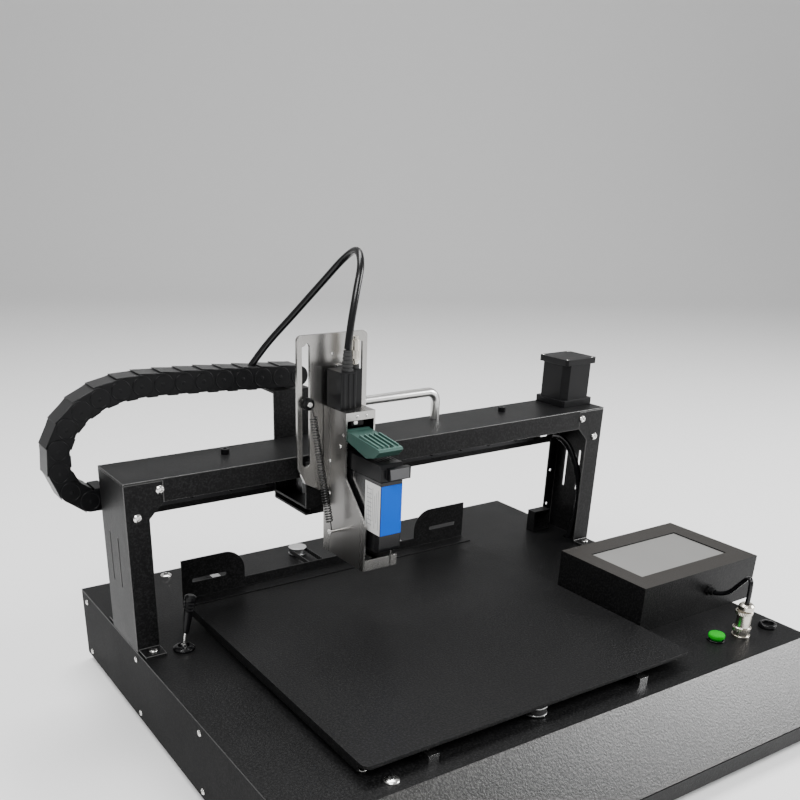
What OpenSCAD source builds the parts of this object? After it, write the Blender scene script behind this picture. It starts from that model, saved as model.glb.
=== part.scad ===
// Flatbed date code inkjet printer: a sheet-metal base with a sliding bed, a fixed
// gantry, a belt-driven print head on it, and an operator panel.
// Millimetres, +Z up, -Y is the operator's side. The origin is under the middle foot.

/* [Base] */
// Width of the base across its side panels
base_w = 700; // [690:1:720]
// Depth of the flat deck, without the sloped front
deck_d = 564; // [560:1:580]
// Height of the base above its feet
base_h = 92; // [90:1:96]
// How far the front slopes out below the deck
slope_run = 59; // [50:1:65]
// Height of the upright lip below the slope
lip_h = 22; // [18:1:26]
// Height of the rubber feet
foot_h = 10; // [10:1:14]
// Thickness of the folded steel sheet
sheet = 2; // [1.5:0.5:2]

/* [Gantry] */
// Height of the beam's top above the deck
gantry_h = 198; // [198:1:204]
// Depth of the beam, front to back
beam_d = 80; // [80:1:84]
// Distance of the beam's front face behind the middle of the deck
beam_y = 79; // [78:1:80]
// Width of each column's front face
column_w = 27; // [25:1:28]
// Height of the beam's front skirt
skirt_h = 26; // [24:1:28]
// Height of the beam's back wall
back_h = 66; // [64:1:66]

/* [Print head] */
// Middle of the carriage along the beam at rest
carriage_x = -106; // [-110:1:-100]
// Width of the slotted plate
plate_w = 90; // [88:1:92]
// Top of the slotted plate above the floor
plate_top = 438; // [430:1:444]
// Thickness of the ink cartridge
cartridge_w = 28; // [26:1:28]

/* [Bed] */
// Width of the bed
bed_w = 430; // [420:1:430]
// Depth of the bed
bed_d = 407; // [400:1:410]
// Height of the bed's surface above the deck
bed_lift = 18; // [18:1:19]

/* [Operator panel] */
// Width of the panel's case
panel_w = 204; // [200:1:206]
// Depth of the panel's case
panel_d = 138; // [134:1:140]
// Height of the panel's case
panel_h = 58; // [54:1:58]

/* [Hidden] */
$fn = 48;

deck_z = foot_h + base_h;
half_w = base_w / 2;
front_y = -deck_d / 2;
back_y = deck_d / 2;
lip_y = front_y - slope_run;
lip_z = foot_h + lip_h;
pan_z = foot_h + sheet;
under_deck = deck_z - sheet;
// Inward step of the slope's inner face
slope_len = norm([slope_run, deck_z - lip_z]);
slope_in = [deck_z - lip_z, -slope_run] * sheet / slope_len;
slope_dir = [-slope_run, lip_z - deck_z] / slope_len;
inner_top_y = front_y + slope_in.x + slope_dir.x * (sheet + slope_in.y) / -slope_dir.y;

beam_top = deck_z + gantry_h;
beam_back = beam_y + beam_d;
under_beam = beam_top - sheet;
skirt_z = beam_top - skirt_h;
back_wall_z = beam_top - back_h;
column_back_w = 18;
gusset = 17;
foot_tab = 21;
foot_tab_t = 3;
// Gantry corner screws: distance from the end and below the top
corner_screws = [[40.5, 11.7], [13.2, 39.5]];

motor_size = 57;
motor_xy = [half_w - 28, beam_back - 28];
x_idler = [-half_w + 28, beam_back - 28];
pulley_r = 12;
pulley_flange_r = 15;
x_belt_z = 272;
belt_h = 12;
belt_gap = 0.3;
belt_t = 1.5;
shaft_r = 4;
run_fit = 0.06;

rail_t = 8;
rail_w = 12;
rail_z = 250;
x_block_y = beam_back - sheet - 13;
plate_y = 61;
plate_t = 4;
slot_offset = 34;
slot_w = 10;

head_left = carriage_x - 12;
head_right = carriage_x + 26;
head_back = plate_y - 1;
head_front = 13;
head_top = 361;
head_bottom = 190;
latch_y = 18;
latch_z = 336;
cart_left = head_left + 6;
cart_front = -49;

chain_y = 168;
chain_w = 35;
chain_h = 28;
chain_pitch = 25;
chain_start = [carriage_x + 18, 370.4];
// Each link's slope below the -X direction, from the carriage round to the anchor
chain_slopes = [-2, -3, -3, -3, -3, -2, -2, 0, 5, 15, 28, 44, 64, 88, 114, 146, 180, 180];
chain_links = len(chain_slopes);
// The head cable leaves the chain through a round hole in the top of this link
exit_link = 2;
exit_place = [-145.7, 184.6];
exit_r = 7;
function chain_step(i) = chain_pitch * [-cos(chain_slopes[i]), -sin(chain_slopes[i])];
function chain_joint(i) = i == 0 ? chain_start : chain_joint(i - 1) + chain_step(i - 1);

bed_top = deck_z + bed_lift;
bed_t = 4;
flange_d = 22;
rebate = 0.6;
bed_left = -265;
bed_front = -259;
bed_back = bed_front + bed_d;
rail_xs = [-190, 90];
block_ys = [-85, 15];
y_belt_x = -50;
y_pulley_y = 245;
y_pulley_r = 10;
y_belt_z = 105.5;
y_belt_h = 6;

panel_x = 178;
panel_y = -176;
screen_x = [202, 356];
screen_y = [-149, -66];
button_xy = [244, -234];
socket_xy = [278, -242];
switch_xy = [327, -243];
lever_xy = [-301, 62];
lever_z = deck_z + 6;
lever_tilt = 11;

// Screws: [x, y, head radius, head height, shank radius] on the deck, and the side panels' y and z
deck_screw_list = concat(
  [for (p = [[-240, -266], [-240, 266], [240, 266]]) [p.x, p.y, 7.5, 3.4, 3]],
  [for (y = [-224, -239]) [-254, y, 3.6, 2.6, 1.8]]);
foot_screw_list = [for (s = [-1, 1], y = [beam_y - 10, beam_back + 11]) [s * (half_w - 15), y]];
panel_screw_y = [261, 85, -91, -262];
panel_screw_z = [20, 91];

// Routes of the leads, through hand-chosen points
head_cable_route = [
  [-150, 187, 378], [-128, 174, 411], [-104, 152, 446], [-82, 126, 482], [-70, 98, 510],
  [-70, 72, 520], [-79, 50, 508], [-91, 39, 482], [-100, 34, 452], [-104.5, 33, 424.8]
];
panel_cable_route = [
  [296, -179, 132], [296, -188, 132], [295, -204, 140], [290, -220, 158],
  [284, -232, 171], [279, -240, 172], [278, -242, 160], [278, -242, 144]
];
conduit_route = [
  [286, 112, 262], [302, 111, 257], [319, 106, 240], [332, 99, 208],
  [338, 95, 174], [338, 96, 142], [336, 99, 118], [334, 102, 97]
];

// ---- shared shapes ----

// A box given by its two corners
module block(a, b) {
  translate(a) cube(b - a);
}

// A flat outline in Y and Z, extruded along X from x0 to x1
module extrude_x(x0, x1) {
  translate([x0, 0, 0]) rotate([90, 0, 90]) linear_extrude(x1 - x0) children();
}

// A flat outline in X and Z, extruded along Y from y0 to y1
module extrude_y(y0, y1) {
  translate([0, y1, 0]) rotate([90, 0, 0]) linear_extrude(y1 - y0) children();
}

// A pan-head screw with its head's underside at z = 0
module screw(head_r, head_h, shank_r, shank_l) {
  difference() {
    rotate_extrude()
      polygon([[0, -shank_l], [shank_r, -shank_l], [shank_r, 0], [head_r, 0],
               [head_r, head_h * 0.4], [head_r * 0.75, head_h * 0.85], [head_r * 0.4, head_h],
               [0, head_h]]);
    translate([0, 0, head_h * 0.45]) cylinder(r = head_r * 0.4, h = head_h, $fn = 6);
  }
}

// A flat slot outline with round ends, centred, its length along X
module slot(length, width) {
  square([length - width, width], center = true);
  for (s = [-1, 1]) translate([s * (length - width) / 2, 0]) circle(d = width);
}

// A closed belt around two pulleys, one at each point
module belt_loop(a, b, r, z, h) {
  outer = r + belt_gap + belt_t;
  inner = r + belt_gap;
  along_x = abs(b.x - a.x) > abs(b.y - a.y);
  size = along_x ? [abs(b.x - a.x), 2] : [2, abs(b.y - a.y)];
  mid = (a + b) / 2;
  module stadium(r) {
    square([max(size.x, 2 * r * (along_x ? 0 : 1)), max(size.y, 2 * r * (along_x ? 1 : 0))],
           center = true);
    for (p = [a, b]) translate(p - mid) circle(r = r);
  }
  translate([mid.x, mid.y, z]) linear_extrude(h) difference() {
    stadium(outer);
    stadium(inner);
  }
}

// A toothed pulley with two flanges and its shaft
module pulley(r, flange_r, z, h, shaft_z, shaft_h, bore_r) {
  difference() {
    union() {
      translate([0, 0, z]) cylinder(r = r, h = h);
      for (end = [z - 1.5, z + h]) translate([0, 0, end]) cylinder(r = flange_r, h = 1.5);
      if (shaft_h > 0) translate([0, 0, shaft_z]) cylinder(r = shaft_r, h = shaft_h);
    }
    if (bore_r > 0) translate([0, 0, z - 2]) cylinder(r = bore_r, h = h + 4);
  }
}

// A smooth curve through route, with steps points in each span
function spline(p, t) =
  0.5 * (2 * p[1] + (p[2] - p[0]) * t + (2 * p[0] - 5 * p[1] + 4 * p[2] - p[3]) * t * t
  + (3 * p[1] - p[0] - 3 * p[2] + p[3]) * t * t * t);
function smooth(route, steps) =
  let (last = len(route) - 1)
  [for (i = [0 : last - 1], k = [0 : steps - 1])
     spline([route[max(i - 1, 0)], route[i], route[i + 1], route[min(i + 2, last)]], k / steps),
   route[last]];

// A round tube swept along a route
module lead(route, r, steps, sides) {
  path = smooth(route, steps);
  last = len(path) - 1;
  rings = [for (i = [0 : last])
    let (d = path[min(i + 1, last)] - path[max(i - 1, 0)], t = d / norm(d),
         u0 = cross(t, [0.3, 1, 0.1]), u = u0 / norm(u0), v = cross(t, u))
    for (k = [0 : sides - 1]) path[i] + r * (cos(360 * k / sides) * u + sin(360 * k / sides) * v)];
  walls = [for (i = [0 : last - 1], k = [0 : sides - 1])
    let (a = i * sides + k, b = i * sides + (k + 1) % sides) [a, b, b + sides, a + sides]];
  caps = [[for (k = [sides - 1 : -1 : 0]) k], [for (k = [0 : sides - 1]) last * sides + k]];
  polyhedron(rings, concat([for (f = walls) [f[3], f[2], f[1], f[0]]],
                           [for (c = caps) [for (k = [len(c) - 1 : -1 : 0]) c[k]]]));
}

// ---- base ----

// Four corner feet with a screw recess, and a plain one under the middle
module rubber_feet() {
  module foot() difference() {
    cylinder(r1 = 14, r2 = 17, h = foot_h);
    translate([0, 0, -1]) cylinder(r = 5, h = 4);
  }
  color("dimgray") {
    cylinder(r = 17, h = foot_h);
    for (x = [-300, 300], y = [-290, 240]) translate([x, y, 0]) foot();
  }
}

module base_pan() color([0.13, 0.13, 0.14]) difference() {
  union() {
    block([-half_w + 4, lip_y + 2, foot_h], [half_w - 4, back_y - 4, pan_z]);
    block([-half_w, lip_y, foot_h], [half_w, lip_y + sheet, lip_z - 1.7]);
    for (s = [-1, 1]) {
      x0 = s > 0 ? half_w - 4 : -half_w + sheet;
      block([x0, lip_y + 2, foot_h], [x0 + 2, back_y - 4, foot_h + 18]);
    }
    block([-half_w + sheet, back_y - 4, foot_h], [half_w - sheet, back_y - sheet, foot_h + 18]);
  }
  panel_screw_holes();
}

module deck_cover() color([0.1, 0.1, 0.11]) difference() {
  extrude_x(-half_w, half_w)
    polygon([[back_y, under_deck], [back_y, deck_z], [front_y, deck_z], [lip_y, lip_z],
             [lip_y + slope_in.x, lip_z + slope_in.y], [inner_top_y, under_deck]]);
  holes = concat([[button_xy, 8.1], [socket_xy, 8.1], [switch_xy, 8.1], [lever_xy, 8.1],
                  [[y_belt_x, y_pulley_y], 6], [[334, 102], 7]],
                 [for (p = deck_screw_list) [[p.x, p.y], p[4] + 0.1]],
                 [for (p = foot_screw_list) [p, 2.6]]);
  for (hole = holes)
    translate([hole[0].x, hole[0].y, deck_z - 5]) cylinder(r = hole[1], h = 10);
}

module panel_screw_holes()
  for (s = [-1, 1], y = panel_screw_y, z = panel_screw_z)
    translate([s * (half_w - 6), y, z]) rotate([0, s * 90, 0]) cylinder(r = 1.9, h = 8);

module side_panel(side) color([0.12, 0.12, 0.13]) {
  x0 = side > 0 ? half_w - sheet : -half_w;
  difference() {
    extrude_x(x0, x0 + sheet)
      polygon([[back_y, foot_h], [back_y, under_deck - 0.3],
               [inner_top_y + 0.3, under_deck - 0.3], [lip_y + sheet + 0.4, lip_z - 1.6],
               [lip_y + sheet + 0.4, foot_h]]);
    if (side > 0) for (i = [0 : 7])
      translate([x0 - 1, 60 + i * 12, 40]) cube([4, 5, 36]);
    panel_screw_holes();
  }
}
module left_side_panel() side_panel(-1);
module right_side_panel() side_panel(1);

module rear_panel() color([0.12, 0.12, 0.13]) difference() {
  block([-half_w + 2, back_y - sheet, foot_h], [half_w - 2, back_y, under_deck - 0.3]);
  block([205, back_y - 5, 40], [255, back_y + 5, 70]);
  for (i = [0 : 8]) block([-200 + i * 14, back_y - 5, 38], [-194 + i * 14, back_y + 5, 78]);
}

module power_inlet() color([0.06, 0.06, 0.07]) difference() {
  union() {
    block([205.3, back_y - 24, 40.3], [254.7, back_y + 1, 69.7]);
    block([201, back_y, 36], [259, back_y + 3, 74]);
  }
  block([209, back_y - 14, 45], [233, back_y + 5, 65]);
  block([239, back_y - 4, 46], [250, back_y + 5, 64]);
}

module deck_screws() color("silver") {
  for (p = deck_screw_list) translate([p.x, p.y, deck_z]) screw(p[2], p[3], p[4], 8);
  for (p = foot_screw_list) translate([p.x, p.y, deck_z + foot_tab_t]) screw(5, 3, 2.5, 9);
}

module panel_screws() color("silver") {
  for (s = [-1, 1], y = panel_screw_y, z = panel_screw_z)
    translate([s * half_w, y, z]) rotate([0, s * 90, 0]) screw(3.6, 2.2, 1.8, 5);
}

module power_supply() color([0.7, 0.72, 0.74])
  block([120, 60, pan_z], [235, 220, pan_z + 42]);

module control_board() color([0.05, 0.3, 0.18]) {
  block([-220, -60, pan_z + 6], [-60, 60, pan_z + 7.6]);
  for (x = [-214, -66], y = [-54, 54]) translate([x, y, pan_z]) cylinder(r = 3, h = 6);
  block([-190, -30, pan_z + 7.6], [-165, -5, pan_z + 11]);
  for (i = [0 : 4]) block([-140 + i * 15, 40, pan_z + 7.6], [-130 + i * 15, 54, pan_z + 18]);
}

// ---- gantry ----

// The left column; the right one is its mirror image
module column_shape() difference() {
  union() {
    block([-half_w, beam_y, deck_z], [-half_w + sheet, beam_back, under_beam]);
    extrude_y(beam_y, beam_y + sheet)
      polygon([[-half_w, deck_z], [-half_w + column_w, deck_z],
               [-half_w + column_w, skirt_z - gusset],
               [-half_w + column_w + gusset, skirt_z], [-half_w + column_w + gusset, under_beam],
               [-half_w, under_beam]]);
    block([-half_w, beam_back - sheet, deck_z],
          [-half_w + column_back_w, beam_back, under_beam]);
    block([-half_w + 2, beam_y - foot_tab, deck_z],
          [-half_w + column_w, beam_y + sheet, deck_z + foot_tab_t]);
    block([-half_w + 2, beam_back - sheet, deck_z],
          [-half_w + column_w, beam_back + foot_tab, deck_z + foot_tab_t]);
  }
  for (y = [beam_y + 33, beam_y + 59])
    translate([-half_w - 1, y, deck_z + 98]) rotate([90, 90, 90]) linear_extrude(4) slot(60, 3.6);
  for (c = corner_screws)
    translate([-half_w + c.x, beam_y - 1, beam_top - c.y]) rotate([-90, 0, 0])
      cylinder(r = 2.6, h = 4);
  for (y = [beam_y - 10, beam_back + 11])
    translate([-half_w + 15, y, deck_z - 1]) cylinder(r = 2.6, h = 6);
  for (z = [deck_z + 35, deck_z + 88])
    translate([-half_w + 12, beam_back - 3, z]) rotate([-90, 0, 0]) cylinder(r = 2, h = 4);
}
module left_column() color([0.09, 0.09, 0.1]) column_shape();
module right_column() color([0.09, 0.09, 0.1]) mirror([1, 0, 0]) column_shape();

module beam_cover() color([0.11, 0.11, 0.12]) difference() {
  inner = half_w - column_w - gusset;
  back_inner = half_w - column_back_w;
  union() {
    block([-half_w, beam_y, under_beam], [half_w, beam_back, beam_top]);
    block([-inner, beam_y, skirt_z], [inner, beam_y + sheet, beam_top - 1]);
    block([-back_inner, beam_back - sheet, back_wall_z], [back_inner, beam_back, beam_top - 1]);
  }
  translate([motor_xy.x, motor_xy.y, under_beam - 1]) cylinder(r = 14, h = 4);
  for (x = [-208, 208])
    translate([x, beam_back - 28, under_beam - 1]) cylinder(r = 3.2, h = 4);
  for (p = [[-265, 30], [265, 30], [-318, 14], [318, 14], [-120, 30], [40, 30]])
    translate([p.x, beam_back - 4, back_wall_z + 12]) rotate([-90, 0, 0])
      linear_extrude(6) slot(p.y, 5);
}

module gantry_screws() {
  color("silver") for (s = [-1, 1], c = corner_screws)
    translate([s * (half_w - c.x), beam_y, beam_top - c.y]) rotate([90, 0, 0])
      screw(5, 3.2, 2.5, 7);
  color([0.1, 0.1, 0.1]) for (x = [-208, 208])
    translate([x, beam_back - 28, beam_top]) difference() {
      union() {
        cylinder(r = 5, h = 6);
        translate([0, 0, -6]) cylinder(r = 3, h = 7);
      }
      translate([0, 0, 3]) cylinder(r = 2.4, h = 4, $fn = 6);
    }
}

module carry_handle() color("silver") {
  x = [-26, 104];
  y = beam_back - 14;
  r = 6;
  bend = 14;
  top = beam_top + 36;
  for (i = [0, 1]) {
    translate([x[i], y, beam_top]) cylinder(r = r, h = top - beam_top - bend);
    translate([x[i], y, top - bend]) rotate([90, 0, 0])
      translate([i == 0 ? bend : -bend, 0, 0])
        rotate([0, 0, i == 0 ? 90 : 0]) rotate_extrude(angle = 90) translate([bend, 0]) circle(r = r);
  }
  translate([x[0] + bend, y, top]) rotate([0, 90, 0]) cylinder(r = r, h = x[1] - x[0] - 2 * bend);
}

// A square stepper motor standing on z = 0, its shaft hole below
module stepper(height, hole) {
  module plan(size, cut) {
    h = size / 2;
    polygon([[-h + cut, -h], [h - cut, -h], [h, -h + cut], [h, h - cut], [h - cut, h],
             [-h + cut, h], [-h, h - cut], [-h, -h + cut]]);
  }
  difference() {
    union() {
      linear_extrude(9) plan(motor_size - 0.6, 3);
      linear_extrude(height) plan(motor_size - 4, 8);
      translate([0, 0, height - 8]) linear_extrude(8) plan(motor_size - 1, 3);
    }
    translate([0, 0, -1]) cylinder(r = hole, h = 8);
  }
}

module x_motor() color([0.07, 0.07, 0.08])
  translate([motor_xy.x, motor_xy.y, beam_top]) stepper(65, shaft_r + run_fit);

module x_drive_pulley() color("silver") translate([motor_xy.x, motor_xy.y, 0])
  pulley(pulley_r, pulley_flange_r, x_belt_z - 0.5, belt_h + 1, x_belt_z, 34, 0);

module x_idler_pulley() color("silver") translate([x_idler.x, x_idler.y, 0])
  pulley(pulley_r, pulley_flange_r, x_belt_z - 0.5, belt_h + 1, 0, 0, shaft_r + run_fit);

module idler_axles() color("silver") {
  translate([x_idler.x, x_idler.y, x_belt_z - 8]) cylinder(r = shaft_r, h = under_beam - x_belt_z + 8);
  translate([x_idler.x, x_idler.y, x_belt_z - 8]) cylinder(r = 7, h = 3);
  translate([y_belt_x, -y_pulley_y, deck_z]) cylinder(r = shaft_r, h = 11);
}

module x_belt() color([0.08, 0.08, 0.08])
  belt_loop(x_idler, motor_xy, pulley_r, x_belt_z, belt_h);

module x_rail() color("lightgray") difference() {
  block([-310, beam_back - sheet - rail_t, rail_z - rail_w / 2],
        [290, beam_back - sheet, rail_z + rail_w / 2]);
  for (x = [-295 : 50 : 280])
    translate([x, beam_back - sheet - rail_t - 1, rail_z]) rotate([-90, 0, 0])
      cylinder(r = 3, h = 5);
}

// ---- carriage ----

module x_rail_block() color("silver") difference() {
  block([carriage_x - 23, x_block_y, rail_z - 13.5], [carriage_x + 23, x_block_y + 10, rail_z + 13.5]);
  block([carriage_x - 24, beam_back - sheet - rail_t - 0.3, rail_z - rail_w / 2 - 0.3],
        [carriage_x + 24, x_block_y + 11, rail_z + rail_w / 2 + 0.3]);
}

module carriage_bracket() color([0.08, 0.08, 0.09]) {
  x0 = carriage_x - 32;
  x1 = carriage_x + 32;
  front = plate_y + plate_t;
  block([x0, x_block_y - 3, 240], [x1, x_block_y, 262]);
  block([x0, front, 240], [x1, x_block_y - 1, 243]);
  block([x0, front, 240], [x1, front + 3, 296]);
}

module belt_clamp() color("silver") difference() {
  run_y = motor_xy.y - pulley_r - belt_gap;
  block([carriage_x - 12, run_y - 9, 243], [carriage_x + 12, run_y + 6, x_belt_z + belt_h + 2]);
  block([carriage_x - 13, run_y - belt_t - 0.3, x_belt_z - 1],
        [carriage_x + 13, run_y + 0.3, x_belt_z + belt_h + 3]);
}

module slot_plate() color([0.75, 0.75, 0.74]) difference() {
  left = carriage_x - plate_w / 2;
  right = carriage_x + plate_w / 2;
  extrude_y(plate_y, plate_y + plate_t) {
    difference() {
      polygon([[left, 292], [left + 10, 272], [left + 28, 262], [right, 262],
               [right, plate_top - 6], [right - 6, plate_top], [left + 6, plate_top],
               [left, plate_top - 6]]);
      for (s = [-1, 1]) translate([carriage_x + s * slot_offset, 361]) rotate(90)
        slot(138, slot_w);
      translate([carriage_x, 416]) circle(r = 1.8);
    }
    for (s = [-1, 1]) translate([carriage_x + s * (plate_w / 2 - 6), plate_top - 6]) circle(r = 6);
  }
}

module z_rail() color("silver")
  block([carriage_x + 3.5, plate_y - 5, 268], [carriage_x + 10.5, plate_y, 404]);

module chain_arm() color([0.08, 0.08, 0.09]) {
  x0 = carriage_x - 19;
  x1 = carriage_x + 31;
  block([x0, 90, 222], [x1, chain_y, 225]);
  block([x0, chain_y - 3, 222], [x1, chain_y, 356]);
  block([x0, chain_y - 3, 353], [x1, chain_y + chain_w, 356]);
  block([carriage_x - 12, 90, 225], [carriage_x + 12, 104, 240]);
}

// Side outline of one link, its middle at the origin
module link_outline(length, height) {
  cut = height / 2 * tan(17) + 0.4;
  l = length / 2;
  h = height / 2;
  polygon([[-l, 0], [-l + cut, -h], [l - cut, -h], [l, 0], [l - cut, h], [-l + cut, h]]);
}

// One link: two side plates and two cross bars around an open middle
module chain_link() difference() {
  extrude_y(chain_y, chain_y + chain_w) link_outline(chain_pitch - 0.5, chain_h);
  block([-chain_pitch, chain_y + 4, -chain_h / 2 + 4],
        [chain_pitch, chain_y + chain_w - 4, chain_h / 2 - 4]);
}

module placed_link(i) {
  middle = chain_joint(i) + chain_step(i) / 2;
  translate([middle.x, 0, middle.y]) rotate([0, -chain_slopes[i], 0]) chain_link();
}

module cable_chain() color([0.09, 0.09, 0.1])
  for (i = [0 : chain_links - 1])
    if (i == exit_link) difference() {
      placed_link(i);
      translate([exit_place.x, exit_place.y, chain_start.y]) cylinder(r = exit_r, h = chain_h);
    }
    else placed_link(i);

module chain_anchor() color([0.1, 0.1, 0.1]) {
  end = chain_joint(chain_links);
  block([end.x + 0.5, beam_back, end.y - 12], [end.x + 20.5, chain_y + chain_w, end.y + 12]);
}

module column_conduit() color([0.05, 0.05, 0.05]) lead(conduit_route, 4.5, 3, 12);

module conduit_cover() color([0.2, 0.2, 0.21]) difference() {
  block([300, 141, deck_z], [331, 156, deck_z + 32]);
  block([302, 139, deck_z + 2], [329, 154, deck_z + 30]);
}

module head_cable() color([0.04, 0.04, 0.04]) lead(head_cable_route, 4, 4, 12);

module clamp_knob() color([0.05, 0.05, 0.05])
  translate([carriage_x - slot_offset, plate_y, 365]) rotate([90, 0, 0]) {
    translate([0, 0, 0.3]) cylinder(r = 7, h = 8);
    translate([0, 0, -plate_t - 4]) cylinder(r = slot_w / 2 - 0.3, h = 18);
  }

// A solid of the spring's outer shape, from the knob down to the pin
module tension_spring() color("gray") {
  low = [head_left - 12, 25, 233];
  high = [carriage_x - slot_offset - 4, 46, 356];
  d = high - low;
  translate(low) rotate([0, acos(d.z / norm(d)), atan2(d.y, d.x)]) cylinder(r = 4.5, h = norm(d));
}

// ---- print head ----

module head_housing() color([0.78, 0.78, 0.77]) difference() {
  union() {
    for (x = [head_left, head_right - sheet])
      extrude_x(x, x + sheet)
        polygon([[head_back, head_top], [head_front, head_top], [head_front, 288],
                 [-30, 245], [-26, head_bottom], [head_back, head_bottom]]);
    block([head_left, -26, head_bottom], [head_right + 8, head_back, head_bottom + sheet]);
    block([head_left, -26, head_bottom], [head_right + 8, -24, 203]);
    block([head_left, 50, head_bottom], [head_right, 52, head_top]);
    block([head_left, head_front, head_top - sheet], [head_right, head_back, head_top]);
    block([head_left, head_front, 352], [head_right, head_front + sheet, head_top]);
  }
  block([carriage_x + 2, plate_y - 5.5, head_top - 3], [carriage_x + 12, plate_y, head_top + 1]);
  block([cart_left + 4, -20, head_bottom - 1], [cart_left + cartridge_w - 4, 30, head_bottom + 3]);
  translate([head_left - 1, latch_y, latch_z]) rotate([0, 90, 0])
    cylinder(r = 2, h = head_right - head_left + 2);
}

module head_block() color([0.06, 0.06, 0.07]) {
  block([head_left + sheet, 31, 205], [head_right - sheet, 50, 330]);
  block([head_left + sheet, 33, 330], [head_right - sheet, 50, head_top - sheet]);
}

module z_rail_block() color("silver") difference() {
  block([carriage_x - 1.5, 52, 285], [carriage_x + 15.5, plate_y - 1.5, 335]);
  block([carriage_x + 3.2, plate_y - 5.3, 284], [carriage_x + 10.8, plate_y + 1, 336]);
}

module head_connector() color([0.05, 0.05, 0.05]) {
  block([head_left + 1, 26, head_top], [carriage_x + 9, 55, 402]);
  block([carriage_x + 9, 34, head_top], [carriage_x + 21.5, 55, 402]);
  for (i = [0 : 2])
    block([head_left + 4 + i * 6.5, 25, head_top + 2], [head_left + 7 + i * 6.5, 26, 400]);
}

module cable_boot() color([0.04, 0.04, 0.04]) translate([carriage_x + 1.5, 33, 402]) {
  rotate_extrude()
    polygon(concat([[0, 0], [6.6, 0]],
      [for (i = [0 : 4]) for (p = [[6.5 - i * 0.4, i * 4 + 2.4], [5.4 - i * 0.25, i * 4 + 2.8],
        [5.4 - i * 0.25, i * 4 + 4], [6.4 - i * 0.4, i * 4 + 4.4]]) p],
      [[4.4, 22], [0, 22]]));
}

module metal_connector() {
  place = [carriage_x + 16, 40.5, 402];
  color([0.07, 0.07, 0.07]) translate(place) cylinder(r = 4.6, h = 5);
  color([0.72, 0.68, 0.6]) translate(place + [0, 0, 5]) {
    cylinder(r = 3.4, h = 5);
    translate([0, 0, 4]) cylinder(r = 5.2, h = 22);
    translate([0, 0, 26]) cylinder(r = 3.6, h = 4);
  }
}

// The spring's lower pin and the latch's hinge pin
module head_pins() color("silver") {
  translate([head_left, 22, 225]) rotate([0, -90, 0]) {
    cylinder(r = 1.8, h = 15);
    translate([0, 0, 13.5]) cylinder(r = 3.4, h = 1.5);
  }
  translate([head_left, latch_y, latch_z]) rotate([0, 90, 0])
    cylinder(r = 2, h = head_right - head_left);
}

module ink_cartridge() color([0.07, 0.07, 0.08])
  extrude_x(cart_left, cart_left + cartridge_w)
    polygon([[cart_front, 224], [cart_front + 1.5, 219.5], [cart_front + 6, 217], [-12, 217],
             [-8, 211], [18, 211], [22, 217], [30, 222], [30, 300], [cart_front, 300]]);

module cartridge_cap() color([0.05, 0.05, 0.06]) {
  extrude_x(cart_left - 1, cart_left + cartridge_w + 1)
    polygon([[cart_front - 1, 300], [30, 300], [30, 312], [20, 318], [cart_front + 4, 318],
             [cart_front - 1, 313]]);
  block([cart_left + 6, cart_front - 7, 302], [cart_left + cartridge_w + 5, cart_front, 315]);
}

// The lever lies forward over the cartridge and swings up about its pin
module latch_lever() color([0.2, 0.42, 0.36]) difference() {
  union() {
    extrude_x(head_left + 2.5, head_right - 5)
      polygon([[14, 341], [-47, 335], [-49, 332.5], [-40, 324.5], [-24, 320.5], [14, 330]]);
    translate([head_left + 2.5, latch_y, latch_z]) rotate([0, 90, 0])
      cylinder(r = 6, h = head_right - head_left - 7.5);
    for (i = [0 : 4])
      extrude_x(head_left + 4 + i * 6.2, head_left + 5.6 + i * 6.2)
        polygon([[-6, 338], [-46, 334], [-44.5, 337.4], [-8, 342]]);
  }
  translate([head_left, latch_y, latch_z]) rotate([0, 90, 0])
    cylinder(r = 2 + run_fit, h = 60);
}

// ---- bed ----

module y_rails() color("lightgray") for (x = rail_xs) difference() {
  block([x - rail_w / 2, -262, deck_z], [x + rail_w / 2, 262, deck_z + rail_t]);
  for (y = [-250 : 50 : 250])
    translate([x, y, deck_z + rail_t - 4]) cylinder(r = 3, h = 5);
}

module y_belt() color([0.08, 0.08, 0.08])
  belt_loop([y_belt_x, -y_pulley_y], [y_belt_x, y_pulley_y], y_pulley_r, y_belt_z, y_belt_h);

module y_motor() color([0.07, 0.07, 0.08])
  translate([y_belt_x, y_pulley_y, under_deck]) rotate([180, 0, 0])
    stepper(56, shaft_r + run_fit);

module y_drive_pulley() color("silver") translate([y_belt_x, y_pulley_y, 0])
  pulley(y_pulley_r, 12.5, y_belt_z - 0.5, y_belt_h + 1, under_deck - 5, 18, 0);

module y_idler_pulley() color("silver") translate([y_belt_x, -y_pulley_y, 0])
  pulley(y_pulley_r, 12.5, y_belt_z - 0.5, y_belt_h + 1, 0, 0, shaft_r + run_fit);

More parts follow.
